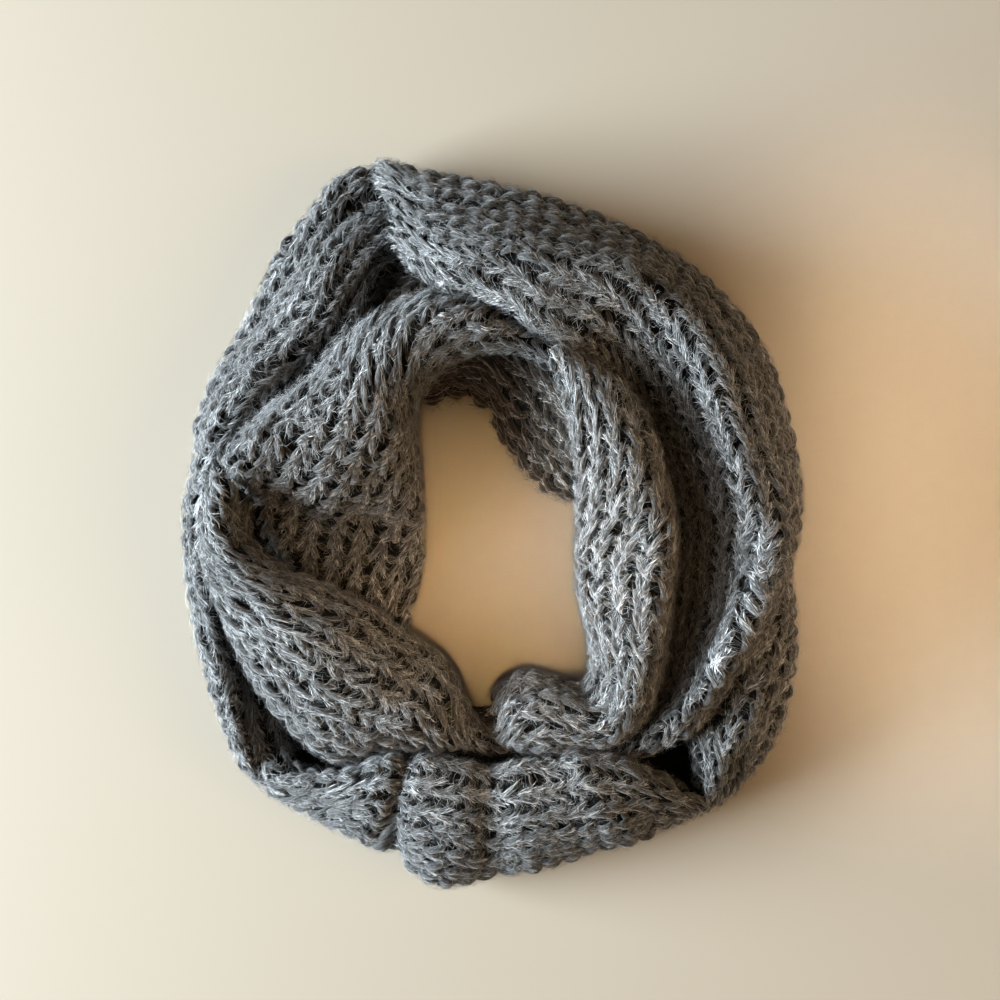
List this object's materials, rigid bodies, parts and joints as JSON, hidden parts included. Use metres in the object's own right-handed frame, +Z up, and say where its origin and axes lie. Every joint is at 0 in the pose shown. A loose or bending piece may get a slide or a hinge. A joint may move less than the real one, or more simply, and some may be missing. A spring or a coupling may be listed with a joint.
{
  "type": "infinity scarf",
  "caption": "Chunky charcoal brushed-knit infinity scarf, wound double and lying in a nest round an open middle.",
  "frame": {"origin": "on the surface the scarf lies on, under the middle of the scarf", "axes": "+Z up; +Y towards the folded peak, along the scarf's greatest length; +X towards its thick right side"},
  "size_m": [0.3078, 0.3589, 0.0905],
  "materials": {
    "charcoal_knit": "chunky brushed knit, hairy and matt",
    "charcoal_knit_shade": "chunky brushed knit, hairy and matt, on the sheltered inner layers"
  },
  "bodies": {
    "root": {"outer_right_band": "charcoal_knit", "inner_right_band": "charcoal_knit", "lower_right_bulge": "charcoal_knit", "bottom_band": "charcoal_knit", "left_outer_band": "charcoal_knit", "left_inner_band": "charcoal_knit", "lower_left_roll": "charcoal_knit", "upper_inner_layer": "charcoal_knit_shade", "hidden_layers": "charcoal_knit_shade"}
  },
  "joints": []
}
